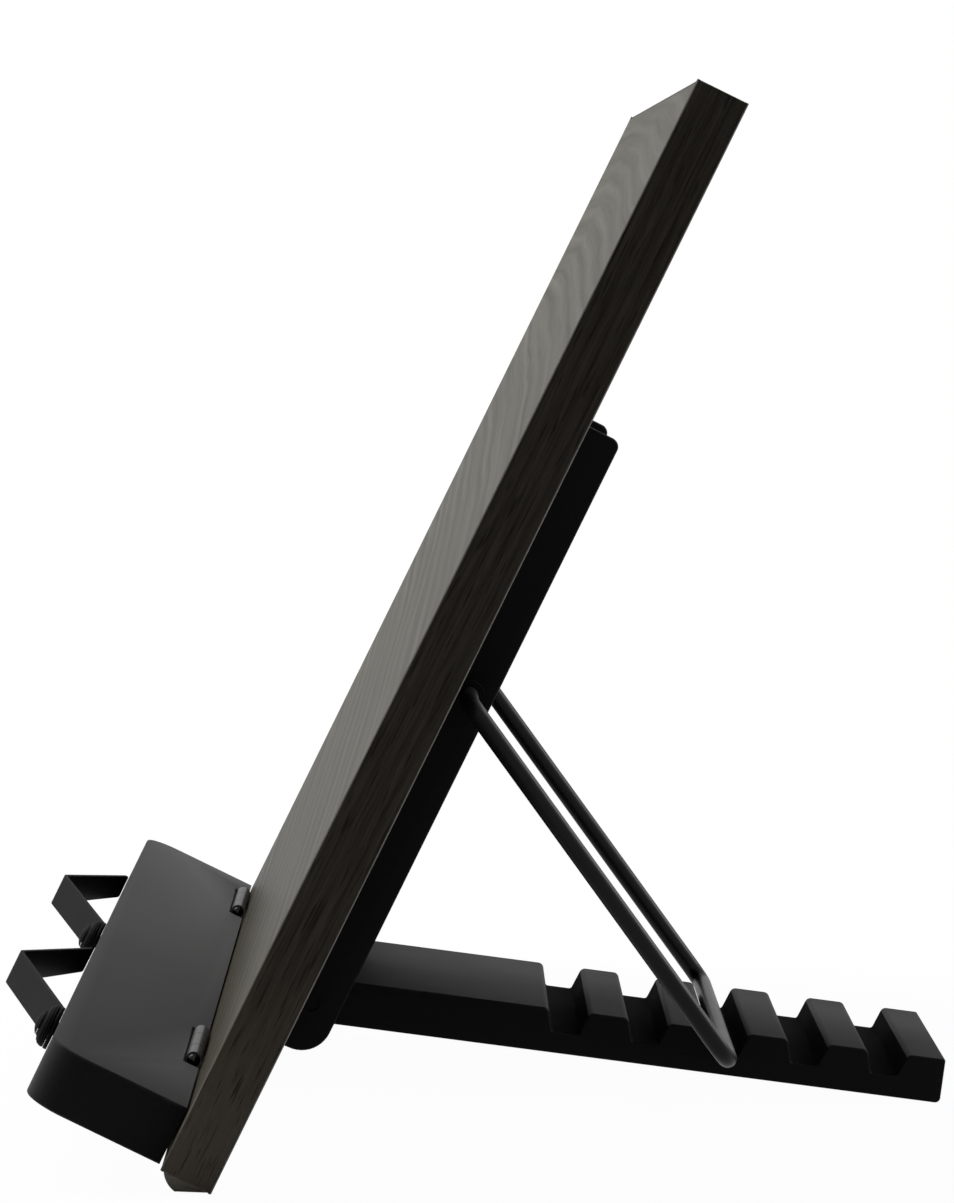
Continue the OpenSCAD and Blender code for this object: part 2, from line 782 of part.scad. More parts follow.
// Front view of a holder's strip: an eye round the post and a strip that narrows to its tip
module arm_front() {
    circle(d = eye_d);
    tip = -bend_x - tip_x;
    polygon([
        [0, -strip_w / 2], [0, strip_w / 2], [-bend_x, strip_w / 2],
        [tip + tip_r, tip_w / 2], [tip + tip_r, -tip_w / 2], [-bend_x, -strip_w / 2]
    ]);
    translate([tip, tip_r - tip_w / 2]) square([2 * tip_r, tip_w - 2 * tip_r]);
    for (s = [-1, 1])
        translate([tip + tip_r, s * (tip_w / 2 - tip_r)]) circle(tip_r);
}

// Plan of a holder's strip, bent outward and back again
module arm_plan() {
    inner = beside(arm_path, strip_t / 2);
    polygon(concat(inner, [for (i = [len(arm_path) - 1 : -1 : 0]) arm_outside[i]]));
}

module holder_arm(i) {
    color("#1e1e1e") stand() at_holder(i) difference() {
        intersection() {
            rotate([90, 0, 0]) linear_extrude(eye_d, center = true) arm_plan();
            linear_extrude(2 * bend_f) arm_front();
        }
        cylinder(d = post_d + 2 * running_gap, h = 2 * bend_f);
    }
}

module holder_spring(i) {
    rings = [
        for (ring = coil_path, k = [0 : coil_sides - 1])
            let (a = k * 360 / coil_sides)
            ring[0] + coil_wire_d / 2 * (cos(a) * ring[1] + sin(a) * cross(ring[2], ring[1]))
    ];
    n = coil_sides;
    last = (len(coil_path) - 1) * n;
    walls = [
        for (r = [0 : len(coil_path) - 2], k = [0 : n - 1], half = [0, 1])
            let (a = r * n + k, b = r * n + (k + 1) % n)
            half == 0 ? [a, b, b + n] : [a, b + n, a + n]
    ];
    caps = [for (k = [1 : n - 2], end = [0, 1]) end == 0 ? [0, k + 1, k] : [last, last + k, last + k + 1]];
    color("#161616") stand() at_holder(i) translate([0, 0, coil_f])
        polyhedron(rings, concat(walls, caps));
}

// A post: a screw with a domed head, which the holder turns on
module holder_post(i) {
    color("#1a1a1a") stand() at_holder(i) {
        translate([0, 0, head_f - post_l]) cylinder(d = post_d, h = post_l);
        translate([0, 0, head_f]) rotate_extrude() post_head();
    }
}

// Half of a post head's section, a slice of a ball
module post_head() {
    head_r = post_head_d / 2;
    ball_r = (pow(head_r, 2) + pow(post_head_h, 2)) / (2 * post_head_h);
    intersection() {
        translate([0, post_head_h - ball_r]) circle(ball_r);
        square([head_r, post_head_h]);
    }
}

module ledge_insert(i) {
    color("#b08d4a") stand() at_holder(i) translate([0, 0, -insert_l]) difference() {
        cylinder(d = insert_d, h = insert_l);
        translate([0, 0, -over]) cylinder(d = post_d + 2 * screw_gap, h = insert_l + 2 * over);
    }
}

board_core();
front_laminate();
back_laminate();
edge_band_left();
edge_band_right();
edge_band_top();
edge_band_bottom();
rubber_foot(-1);  // rubber_foot_left
rubber_foot(1);  // rubber_foot_right
back_housing();
housing_screws();
ear_screw();
foot_hinge_pin();
rear_foot();
strut();
ledge();
board_leaf(hinge_xs[0]);  // board_leaf_left
board_leaf(hinge_xs[1]);  // board_leaf_right
ledge_leaf(hinge_xs[0]);  // ledge_leaf_left
ledge_leaf(hinge_xs[1]);  // ledge_leaf_right
hinge_pin(hinge_xs[0]);  // hinge_pin_left
hinge_pin(hinge_xs[1]);  // hinge_pin_right
board_leaf_screws();
ledge_leaf_screws();
holder_arm(0);  // holder_arm_1
holder_arm(1);  // holder_arm_2
holder_spring(0);  // holder_spring_1
holder_spring(1);  // holder_spring_2
holder_post(0);  // holder_post_1
holder_post(1);  // holder_post_2
ledge_insert(0);  // ledge_insert_1
ledge_insert(1);  // ledge_insert_2
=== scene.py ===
import json
import math

import bmesh
import bpy
from mathutils import Matrix, Vector


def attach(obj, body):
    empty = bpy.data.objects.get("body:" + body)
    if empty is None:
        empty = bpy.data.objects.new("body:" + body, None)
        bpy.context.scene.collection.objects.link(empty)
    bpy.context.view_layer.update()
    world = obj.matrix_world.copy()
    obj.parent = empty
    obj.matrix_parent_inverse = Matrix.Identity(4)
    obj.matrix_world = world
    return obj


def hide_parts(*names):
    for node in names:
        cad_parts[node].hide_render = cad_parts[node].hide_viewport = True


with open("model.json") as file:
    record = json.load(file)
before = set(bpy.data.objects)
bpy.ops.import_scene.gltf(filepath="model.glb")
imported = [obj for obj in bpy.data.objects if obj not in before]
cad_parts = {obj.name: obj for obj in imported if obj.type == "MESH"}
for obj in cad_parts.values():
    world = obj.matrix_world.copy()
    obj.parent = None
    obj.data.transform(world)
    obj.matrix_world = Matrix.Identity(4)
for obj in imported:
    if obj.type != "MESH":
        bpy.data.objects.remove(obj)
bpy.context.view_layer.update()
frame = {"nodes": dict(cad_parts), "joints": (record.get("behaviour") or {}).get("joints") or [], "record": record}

nodes = frame["nodes"]
record = frame["record"]
slotOf = {part["node"]: part["material_slot"] for part in record["subparts"]}
bodyOf = {node: body for body, names in record["behaviour"]["bodies"].items() for node in names}
jointAt = {joint["name"]: Vector(joint["pos_m"]) for joint in frame["joints"]}
mm = 0.001

# The board's own frame: x across, y from the reading face to the back, z up the board
upBoard = Vector(record["mounts"][0]["axis"])
lean = math.atan2(upBoard.y, upBoard.z)
leanTurn = Matrix.Rotation(lean, 4, "X")


def leanedBox(node):
    points = [leanTurn @ vert.co for vert in nodes[node].data.vertices]
    low = Vector([min(p[i] for p in points) for i in range(3)])
    high = Vector([max(p[i] for p in points) for i in range(3)])
    return low, high


boardZero = Vector((0, leanedBox("front_laminate")[0].y, leanedBox("edge_band_left")[0].z))
toBoard = Matrix.Translation(-boardZero) @ leanTurn


def boardBox(node):
    low, high = leanedBox(node)
    return low - boardZero, high - boardZero


print("board leans", round(math.degrees(lean), 2), "degrees")

# Shader helpers


def addNode(tree, kind, **settings):
    node = tree.nodes.new(kind)
    for key, value in settings.items():
        setattr(node, key, value)
    return node


def feed(tree, socket, source):
    # a number or colour is set on the socket, anything else is linked to it
    if isinstance(source, (int, float, tuple)):
        socket.default_value = source
    else:
        tree.links.new(source, socket)


noiseSpan = (0.3, 0.7)  # noise seldom leaves this range


def noise(tree, vector, scale=1.0, detail=2.0, rough=0.5):
    node = addNode(tree, "ShaderNodeTexNoise")
    feed(tree, node.inputs["Vector"], vector)
    feed(tree, node.inputs["Scale"], scale)
    feed(tree, node.inputs["Detail"], detail)
    feed(tree, node.inputs["Roughness"], rough)
    return node.outputs["Fac"]


def math2(tree, operation, a, b):
    node = addNode(tree, "ShaderNodeMath", operation=operation)
    feed(tree, node.inputs[0], a)
    feed(tree, node.inputs[1], b)
    return node.outputs[0]


def stretch(tree, vector, scale):
    node = addNode(tree, "ShaderNodeVectorMath", operation="MULTIPLY")
    feed(tree, node.inputs[0], vector)
    feed(tree, node.inputs[1], scale)
    return node.outputs[0]


def remap(tree, value, low, high, toLow=0.0, toHigh=1.0):
    node = addNode(tree, "ShaderNodeMapRange")
    feed(tree, node.inputs["Value"], value)
    node.inputs["From Min"].default_value = low
    node.inputs["From Max"].default_value = high
    feed(tree, node.inputs["To Min"], toLow)
    feed(tree, node.inputs["To Max"], toHigh)
    return node.outputs["Result"]


def blendColour(tree, factor, a, b):
    node = addNode(tree, "ShaderNodeMix", data_type="RGBA")
    feed(tree, node.inputs[0], factor)
    feed(tree, node.inputs[6], a)
    feed(tree, node.inputs[7], b)
    return node.outputs[2]


def newGroup(name, inputs, outputs):
    tree = bpy.data.node_groups.new(name, "ShaderNodeTree")
    for label, kind, default in inputs:
        socket = tree.interface.new_socket(name=label, in_out="INPUT", socket_type=kind)
        if default is not None:
            socket.default_value = default
    for label, kind in outputs:
        tree.interface.new_socket(name=label, in_out="OUTPUT", socket_type=kind)
    return tree, addNode(tree, "NodeGroupInput").outputs, addNode(tree, "NodeGroupOutput").inputs


def placeGroup(tree, group, **values):
    node = addNode(tree, "ShaderNodeGroup", node_tree=group)
    for label, value in values.items():
        feed(tree, node.inputs[label], value)
    return node.outputs


# Oak figure: grain runs along x, and growth lines cross y. Tilt slants them, Fan changes the slant across
# the board, Arch bends them into long arches and Wave makes them wander
oakGrain = {"swell": (5.0, 26.0, 26.0), "poreSpan": (0.58, 0.7), "ringTone": 0.35, "streakTone": 0.65}
oakGroup, oakIn, oakOut = newGroup(
    "oakFigure",
    [
        ("Vector", "NodeSocketVector", None),
        ("Tilt", "NodeSocketFloat", 0.0),
        ("Fan", "NodeSocketFloat", 0.0),
        ("Arch", "NodeSocketFloat", 0.0),
        ("Wave", "NodeSocketFloat", 0.004),
        ("Ring", "NodeSocketFloat", 0.003),
        ("Streaks", "NodeSocketVector", (4.0, 420.0, 420.0)),
        ("Pores", "NodeSocketVector", (90.0, 2400.0, 2400.0)),
    ],
    [("Tone", "NodeSocketFloat"), ("Pores", "NodeSocketFloat"), ("Height", "NodeSocketFloat")],
)
oakAxes = addNode(oakGroup, "ShaderNodeSeparateXYZ")
feed(oakGroup, oakAxes.inputs[0], oakIn["Vector"])
along, cross, deep = oakAxes.outputs
swell = noise(oakGroup, stretch(oakGroup, oakIn["Vector"], oakGrain["swell"]))
wander = math2(oakGroup, "MULTIPLY", math2(oakGroup, "SUBTRACT", swell, 0.5), oakIn["Wave"])
arched = math2(oakGroup, "MULTIPLY", math2(oakGroup, "MULTIPLY", along, along), oakIn["Arch"])
tilt = math2(oakGroup, "ADD", math2(oakGroup, "MULTIPLY", cross, oakIn["Fan"]), oakIn["Tilt"])
slant = math2(oakGroup, "ADD", math2(oakGroup, "MULTIPLY", along, tilt), arched)
figure = math2(oakGroup, "ADD", math2(oakGroup, "ADD", cross, slant), wander)
grain = addNode(oakGroup, "ShaderNodeCombineXYZ")
for place, source in enumerate((along, figure, deep)):
    feed(oakGroup, grain.inputs[place], source)
ringPlace = math2(oakGroup, "DIVIDE", figure, oakIn["Ring"])
rings = math2(oakGroup, "PINGPONG", ringPlace, 1.0)
streaks = noise(oakGroup, stretch(oakGroup, grain.outputs[0], oakIn["Streaks"]), detail=4.0, rough=0.6)
poreField = noise(oakGroup, stretch(oakGroup, grain.outputs[0], oakIn["Pores"]), detail=1.0)
pores = remap(oakGroup, poreField, *oakGrain["poreSpan"])
ringTone = math2(oakGroup, "MULTIPLY", rings, oakGrain["ringTone"])
streakTone = remap(oakGroup, streaks, *noiseSpan, 0.0, oakGrain["streakTone"])
feed(oakGroup, oakOut["Tone"], math2(oakGroup, "ADD", ringTone, streakTone))
feed(oakGroup, oakOut["Pores"], pores)
feed(oakGroup, oakOut["Height"], math2(oakGroup, "SUBTRACT", streakTone, pores))

# Moulded skin: a fine spark-eroded texture with a slow change of tone
skinGroup, skinIn, skinOut = newGroup(
    "mouldedSkin",
    [
        ("Vector", "NodeSocketVector", None),
        ("Grain", "NodeSocketFloat", 3000.0),
        ("Cloud", "NodeSocketFloat", 18.0),
    ],
    [("Tone", "NodeSocketFloat"), ("Height", "NodeSocketFloat")],
)
skinGrain = noise(skinGroup, skinIn["Vector"], scale=skinIn["Grain"])
skinCloud = noise(skinGroup, skinIn["Vector"], scale=skinIn["Cloud"], detail=4.0)
feed(skinGroup, skinOut["Tone"], remap(skinGroup, skinCloud, *noiseSpan))
feed(skinGroup, skinOut["Height"], skinGrain)

# Edge wear and painted highlight: a mask on the bevelled edges and on the side bands' arrises, which carry the
# attribute edgeWearAndHighlight; on moulded parts it is wear, and on the side bands' arrises it paints highlight
# lines, partly real wear on the front arris; Even 0 is patchy, 1 is not
rubAndHighlight = {"scale": 160.0, "detail": 5.0, "rough": 0.65, "span": (0.42, 0.66)}
wearHighlightGroup, wearHighlightIn, wearHighlightOut = newGroup(
    "edgeRubAndHighlight",
    [
        ("Vector", "NodeSocketVector", None),
        ("Amount", "NodeSocketFloat", 0.5),
        ("Even", "NodeSocketFloat", 0.0),
    ],
    [("Mask", "NodeSocketFloat")],
)
wearHighlightEdge = addNode(wearHighlightGroup, "ShaderNodeAttribute", attribute_name="edgeWearAndHighlight")
wearHighlightNoise = noise(wearHighlightGroup, wearHighlightIn["Vector"], rubAndHighlight["scale"], rubAndHighlight["detail"], rubAndHighlight["rough"])
wearHighlightPatch = remap(wearHighlightGroup, wearHighlightNoise, *rubAndHighlight["span"], wearHighlightIn["Even"], 1.0)
wearHighlightSoft = math2(wearHighlightGroup, "MULTIPLY", wearHighlightEdge.outputs["Fac"], wearHighlightPatch)
wearHighlightMask = math2(wearHighlightGroup, "MULTIPLY", wearHighlightSoft, wearHighlightIn["Amount"])
feed(wearHighlightGroup, wearHighlightOut["Mask"], math2(wearHighlightGroup, "MINIMUM", wearHighlightMask, 1.0))


def newMaterial(name):
    material = bpy.data.materials.new(name)
    material.use_nodes = True
    tree = material.node_tree
    shader = tree.nodes["Principled BSDF"]
    return material, tree, shader


def objectPoint(tree):
    return addNode(tree, "ShaderNodeTexCoord").outputs["Object"]


def boardPoint(tree):
    # object coordinates turned and moved into the board's frame
    node = addNode(tree, "ShaderNodeMapping")
    feed(tree, node.inputs["Vector"], objectPoint(tree))
    node.inputs["Location"].default_value = toBoard.translation
    node.inputs["Rotation"].default_value = (lean, 0, 0)
    return node.outputs["Vector"]


bumpStrength = {"oak": 0.6, "moulded": 0.5, "metal": 0.4}


def bump(tree, shader, height, distance, strength):
    node = addNode(tree, "ShaderNodeBump")
    feed(tree, node.inputs["Height"], height)
    node.inputs["Distance"].default_value = distance
    node.inputs["Strength"].default_value = strength
    feed(tree, shader.inputs["Normal"], node.outputs["Normal"])


def oakMaterial(name, order, look):
    material, tree, shader = newMaterial(name)
    split = addNode(tree, "ShaderNodeSeparateXYZ")
    feed(tree, split.inputs[0], boardPoint(tree))
    join = addNode(tree, "ShaderNodeCombineXYZ")
    for place, axis in enumerate(order):
        feed(tree, join.inputs[place], split.outputs[axis])
    labels = ("Tilt", "Fan", "Arch", "Wave", "Ring", "Streaks", "Pores")
    figure = {label: look[label.lower()] for label in labels}
    oak = placeGroup(tree, oakGroup, Vector=join.outputs[0], **figure)
    wood = blendColour(tree, oak["Tone"], look["dark"], look["light"])
    # painted floor bounce light: the wood turns paler towards the board's bottom edge
    floorBounce = remap(tree, split.outputs["Z"], *look["floorBounceBelow"], 0.0, look["floorBounceAmount"])
    wood = blendColour(tree, floorBounce, wood, look["floorBounce"])
    poreShade = math2(tree, "MULTIPLY", oak["Pores"], look["poreDepth"])
    colour = blendColour(tree, poreShade, wood, look["pore"])
    # edge wear, and on the side bands' arrises painted highlight lines
    wearAndHighlight = placeGroup(tree, wearHighlightGroup, Vector=join.outputs[0], Amount=look["wearAndHighlight"], Even=look["evenWearAndHighlight"])
    feed(tree, shader.inputs["Base Color"], blendColour(tree, wearAndHighlight["Mask"], colour, look["wornAndHighlit"]))
    low, high = look["roughness"]
    feed(tree, shader.inputs["Roughness"], remap(tree, oak["Tone"], *look["toneSpan"], high, low))
    shader.inputs["Specular IOR Level"].default_value = look["specular"]
    shader.inputs["Sheen Weight"].default_value = look["sheen"]
    shader.inputs["Sheen Tint"].default_value = look["sheenTint"]
    bump(tree, shader, oak["Height"], look["relief"], bumpStrength["oak"])
    return material


laminateLook = {
    "dark": (0.011, 0.0098, 0.0075, 1),
    "light": (0.046, 0.0415, 0.031, 1),
    "pore": (0.010, 0.009, 0.007, 1),
    "wornAndHighlit": (0.17, 0.15, 0.12, 1),
    # painted floor bounce colour over the lowest 50 mm; the face takes none of it
    "floorBounce": (0.066, 0.061, 0.050, 1),
    "floorBounceBelow": (0.05, 0.0),
    "floorBounceAmount": 0.0,
    "poreDepth": 0.5,
    "tilt": 0.105,
    "fan": -0.34,
    "arch": 0.09,
    "wave": 0.012,
    "ring": 0.0032,
    "streaks": (3.0, 420.0, 420.0),
    "pores": (40.0, 2200.0, 2200.0),
    "roughness": (0.40, 0.46),
    "toneSpan": (0.1, 0.9),
    "specular": 0.031,
    "sheen": 0.06,
    "sheenTint": (1.0, 0.93, 0.6, 1),
    "relief": 0.00003,
    "wearAndHighlight": 0.3,
    "evenWearAndHighlight": 0.0,
}
bandLook = dict(
    laminateLook,
    dark=(0.012, 0.010, 0.0075, 1),
    light=(0.050, 0.044, 0.034, 1),
    pore=(0.006, 0.005, 0.004, 1),
    # the bands' edge colour paints the highlight lines on their arrises, partly real wear on the front arris
    wornAndHighlit=(0.19, 0.183, 0.17, 1),
    # painted floor bounce light on the lowest 50 mm of the bands
    floorBounce=(0.085, 0.072, 0.056, 1),
    floorBounceAmount=0.8,
    tilt=0.0,
    fan=0.0,
    arch=0.0,
    wave=0.004,
    ring=0.0014,
    streaks=(60.0, 1500.0, 1500.0),
    pores=(110.0, 1700.0, 1700.0),
    poreDepth=0.8,
    roughness=(0.5, 0.62),
    specular=0.05,
    sheen=0.0,
    relief=0.00005,
    # full, nearly even arris lines, as the painted highlight runs along the whole arris
    wearAndHighlight=1.0,
    evenWearAndHighlight=0.8,
)
oakFace = oakMaterial("oakFace", "XZY", laminateLook)
oakSideBand = oakMaterial("oakSideBand", "ZYX", bandLook)
oakEndBand = oakMaterial("oakEndBand", "XYZ", bandLook)


def mouldedMaterial(name, look):
    material, tree, shader = newMaterial(name)
    point = objectPoint(tree)
    skin = placeGroup(tree, skinGroup, Vector=point, Grain=look["grain"], Cloud=look["cloud"])
    wearAndHighlight = placeGroup(tree, wearHighlightGroup, Vector=point, Amount=look["wearAndHighlight"])
    plain = blendColour(tree, skin["Tone"], look["dark"], look["light"])
    feed(tree, shader.inputs["Base Color"], blendColour(tree, wearAndHighlight["Mask"], plain, look["wornAndHighlit"]))
    low, high = look["roughness"]
    feed(tree, shader.inputs["Roughness"], remap(tree, skin["Tone"], 0.0, 1.0, low, high))
    shader.inputs["Specular IOR Level"].default_value = look["specular"]
    shader.inputs["Sheen Weight"].default_value = look.get("sheen", 0.0)
    bump(tree, shader, skin["Height"], look["relief"], bumpStrength["moulded"])
    return material


blackPlastic = mouldedMaterial(
    "blackPlastic",
    {
        "dark": (0.0045, 0.0045, 0.0046, 1),
        "light": (0.0075, 0.0075, 0.0076, 1),
        "wornAndHighlit": (0.03, 0.03, 0.03, 1),
        "grain": 3400.0,
        "cloud": 14.0,
        "roughness": (0.52, 0.62),
        "specular": 0.05,
        "relief": 0.00004,
        "wearAndHighlight": 0.5,
    },
)
# a shaded copy of the black plastic for the faces inside the foot's notches: its weak specular and rough finish
# paint shade in the notches
notchShadePlastic = mouldedMaterial(
    "notchShadePlastic",
    {
        "dark": (0.0045, 0.0045, 0.0046, 1),
        "light": (0.0075, 0.0075, 0.0076, 1),
        "wornAndHighlit": (0.02, 0.02, 0.02, 1),
        "grain": 2600.0,
        "cloud": 14.0,
        "roughness": (0.8, 0.9),
        "specular": 0.008,
        "relief": 0.00004,
        "wearAndHighlight": 0.5,
    },
)
ledgePlastic = mouldedMaterial(
    "ledgePlastic",
    {
        "dark": (0.006, 0.006, 0.006, 1),
        "light": (0.009, 0.009, 0.009, 1),
        "wornAndHighlit": (0.04, 0.04, 0.04, 1),
        "grain": 4200.0,
        "cloud": 9.0,
        "roughness": (0.5, 0.58),
        "specular": 0.02,
        "sheen": 0.13,
        "relief": 0.00004,
        "wearAndHighlight": 0.5,
    },
)
blackWire = mouldedMaterial(
    "blackWire",
    {
        "dark": (0.006, 0.006, 0.006, 1),
        "light": (0.010, 0.010, 0.010, 1),
        "wornAndHighlit": (0.05, 0.05, 0.05, 1),
        "grain": 1500.0,
        "cloud": 30.0,
        "roughness": (0.34, 0.44),
        "specular": 0.12,
        "relief": 0.00002,
        "wearAndHighlight": 0.6,
    },
)
blackStrip = mouldedMaterial(
    "blackStrip",
    {
        "dark": (0.007, 0.007, 0.007, 1),
        "light": (0.0105, 0.0105, 0.0105, 1),
        "wornAndHighlit": (0.05, 0.05, 0.05, 1),
        "grain": 1700.0,
        "cloud": 40.0,
        "roughness": (0.5, 0.6),
        "specular": 0.02,
        "relief": 0.00002,
        "wearAndHighlight": 0.3,
    },
)
softRubber = mouldedMaterial(
    "softRubber",
    {
        "dark": (0.15, 0.143, 0.122, 1),
        "light": (0.20, 0.19, 0.163, 1),
        "wornAndHighlit": (0.15, 0.143, 0.122, 1),
        "grain": 2200.0,
        "cloud": 60.0,
        "roughness": (0.78, 0.9),
        "specular": 0.2,
        "relief": 0.00008,
        "wearAndHighlight": 0.4,
    },
)
coreBoard = mouldedMaterial(
    "coreBoard",
    {
        "dark": (0.23, 0.14, 0.07, 1),
        "light": (0.33, 0.21, 0.115, 1),
        "wornAndHighlit": (0.4, 0.27, 0.16, 1),
        "grain": 1200.0,
        "cloud": 420.0,
        "roughness": (0.85, 0.95),
        "specular": 0.2,
        "relief": 0.0001,
        "wearAndHighlight": 0.0,
    },
)


metalSpan = {"stain": (0.55, 0.8), "roughness": (0.25, 0.75)}


def metalMaterial(name, look):
    material, tree, shader = newMaterial(name)
    point = objectPoint(tree)
    lines = noise(tree, stretch(tree, point, look["brush"]), detail=3.0, rough=0.6)
    cloud = noise(tree, point, scale=look["cloud"], detail=4.0)
    tone = blendColour(tree, remap(tree, lines, *noiseSpan), look["dark"], look["light"])
    stain = remap(tree, cloud, *metalSpan["stain"], 0.0, look["stain"])
    feed(tree, shader.inputs["Base Color"], blendColour(tree, stain, tone, look["dull"]))
    low, high = look["roughness"]
    gloss = remap(tree, lines, *metalSpan["roughness"], low, high)
    feed(tree, shader.inputs["Roughness"], gloss)
    shader.inputs["Metallic"].default_value = 1.0
    shader.inputs["Specular Tint"].default_value = look["edge"]
    bump(tree, shader, lines, look["relief"], bumpStrength["metal"])
    return material


hingeSteel = metalMaterial(
    "hingeSteel",
    {
        "edge": (0.56, 0.56, 0.56, 1),
        "dark": (0.075, 0.075, 0.075, 1),
        "light": (0.125, 0.125, 0.125, 1),
        "dull": (0.035, 0.034, 0.033, 1),
        "brush": (5200.0, 900.0, 900.0),
        "cloud": 260.0,
        "stain": 0.5,
        "roughness": (0.26, 0.40),
        "relief": 0.00001,
    },
)
# a much darker copy of the hinge steel for the pins: painted shade on the pin ends, which face away from the lamps
shadedPinSteel = metalMaterial(
    "shadedPinSteel",
    {
        "edge": (0.4, 0.4, 0.4, 1),
        "dark": (0.013, 0.013, 0.012, 1),
        "light": (0.026, 0.026, 0.024, 1),
        "dull": (0.009, 0.009, 0.008, 1),
        "brush": (1800.0, 1800.0, 1800.0),
        "cloud": 300.0,
        "stain": 0.6,
        "roughness": (0.16, 0.3),
        "relief": 0.00001,
    },
)
zincSteel = metalMaterial(
    "zincSteel",
    {
        "edge": (0.9, 0.9, 0.9, 1),
        "dark": (0.34, 0.34, 0.34, 1),
        "light": (0.52, 0.52, 0.51, 1),
        "dull": (0.16, 0.155, 0.15, 1),
        "brush": (2600.0, 2600.0, 2600.0),
        "cloud": 220.0,
        "stain": 0.6,
        "roughness": (0.3, 0.46),
        "relief": 0.00002,
    },
)
insertBrass = metalMaterial(
    "insertBrass",
    {
        "edge": (0.9, 0.9, 0.9, 1),
        "dark": (0.46, 0.30, 0.11, 1),
        "light": (0.62, 0.44, 0.18, 1),
        "dull": (0.2, 0.13, 0.06, 1),
        "brush": (2400.0, 2400.0, 2400.0),
        "cloud": 240.0,
        "stain": 0.5,
        "roughness": (0.28, 0.42),
        "relief": 0.00001,
    },
)
finishOf = {
    "fibreboard": coreBoard,
    "oak_laminate": oakFace,
    "edge_band": oakSideBand,
    "rubber": softRubber,
    "black_plastic": blackPlastic,
    "ledge_plastic": ledgePlastic,
    "zinc_steel": zincSteel,
    "hinge_steel": hingeSteel,
    "black_wire": blackWire,
    "black_strip": blackStrip,
    "brass": insertBrass,
}
for node, obj in nodes.items():
    obj.data.materials.clear()
    obj.data.materials.append(finishOf[slotOf[node]])
print("materials ready:", len(bpy.data.materials))

# Pieces


def finishPiece(bm, name, node, material=None, sharp=38.0):
    # turns a bmesh into a piece that stands for a CAD node and rides its body
    mesh = bpy.data.meshes.new(name)
    bm.to_mesh(mesh)
    bm.free()
    mesh.shade_smooth()
    mesh.set_sharp_from_angle(angle=math.radians(sharp))
    mesh.materials.append(material or finishOf[slotOf[node]])
    piece = bpy.data.objects.new(name, mesh)
    bpy.context.scene.collection.objects.link(piece)
    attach(piece, bodyOf[node])
    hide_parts(node)
    return piece


weld = {"reach": 0.002 * mm, "flatAngle": 0.5}


def nodeCopy(node):
    # a CAD node's mesh with its doubles merged and its flat faces made whole
    bm = bmesh.new()
    bm.from_mesh(nodes[node].data)
    bmesh.ops.remove_doubles(bm, verts=bm.verts[:], dist=weld["reach"])
    flat = math.radians(weld["flatAngle"])
    bmesh.ops.dissolve_limit(bm, angle_limit=flat, verts=bm.verts[:], edges=bm.edges[:])
    bm.faces.layers.float.new("edgeWearAndHighlight")
    return bm


def soften(bm, size, test, segments=3, angle=30.0, wornAndHighlit=1.0):
    # rounds the sharp edges that pass the test, which gets the edge's two ends in the board's frame
    edges = []
    for edge in bm.edges:
        if not edge.is_manifold or abs(edge.calc_face_angle_signed()) < math.radians(angle):
            continue
        if test(*[toBoard @ vert.co for vert in edge.verts]):
            edges.append(edge)
    made = bmesh.ops.bevel(
        bm, geom=edges, offset=size, offset_type="OFFSET", segments=segments, profile=0.5,
        affect="EDGES", clamp_overlap=False, material=-1,
    )
    layer = bm.faces.layers.float["edgeWearAndHighlight"]
    for face in made["faces"]:
        face[layer] = wornAndHighlit
    return len(edges)


def near(value, target, reach=0.03 * mm):
    return abs(value - target) < reach


# Edge bands: their long arrises are already round; on the side bands, whose ends are eased, they carry painted
# highlight lines, which on the front arris are partly real wear
band = {"endRound": 0.6 * mm, "frontWearAndHighlight": 0.55, "rearHighlight": 1.0, "arrisTurn": (0.6, 0.99)}


def markArrisWearAndHighlight(bm):
    # the arrises are the faces turned part of the way to the board's front or back
    layer = bm.faces.layers.float["edgeWearAndHighlight"]
    least, most = band["arrisTurn"]
    for face in bm.faces:
        aim = leanTurn.to_3x3() @ face.normal
        if least < abs(aim.y) < most:
            # painted highlight lines: full on the rear arris, weaker on the front arris, where the line is partly
            # real wear
            face[layer] = band["frontWearAndHighlight"] if aim.y < 0 else band["rearHighlight"]


for side in ("left", "right"):
    node = "edge_band_" + side
    low, high = boardBox(node)
    outer = low.x if side == "left" else high.x
    bm = nodeCopy(node)
    soften(
        bm, band["endRound"],
        lambda a, b: near(a.x, outer) and near(b.x, outer) and near(a.z, b.z),
        wornAndHighlit=0.0,
    )
    markArrisWearAndHighlight(bm)
    finishPiece(bm, "sideBand_" + side, node, oakSideBand)
for side in ("top", "bottom"):
    finishPiece(nodeCopy("edge_band_" + side), "endBand_" + side, "edge_band_" + side, oakEndBand)
print("edge bands done")

# Rubber feet under the board
rubber = {"round": 0.7 * mm, "topClear": 0.1 * mm}
for side in ("left", "right"):
    node = "rubber_foot_" + side
    top = boardBox(node)[1].z
    bm = nodeCopy(node)
    soften(
        bm, rubber["round"],
        lambda a, b: near(a.x, b.x) and max(a.z, b.z) < top - rubber["topClear"],
    )
    finishPiece(bm, "rubberFoot_" + side, node)
print("rubber feet done")

# Back housing: every outline edge is eased, the rims of its holes stay crisp
housing = {"round": 0.5 * mm, "pivotRim": 3.15 * mm, "screwRim": 1.0 * mm, "seatClear": 0.1 * mm}
housingSeat = boardBox("back_housing")[0].y
fastenerPoints = []
for node in ("housing_screws", "ear_screw", "foot_hinge_pin"):
    for vert in nodes[node].data.vertices:
        fastenerPoints.append(toBoard @ vert.co)
strutPivot = toBoard @ jointAt["strut_swing"]
footPivot = toBoard @ jointAt["foot_hinge"]


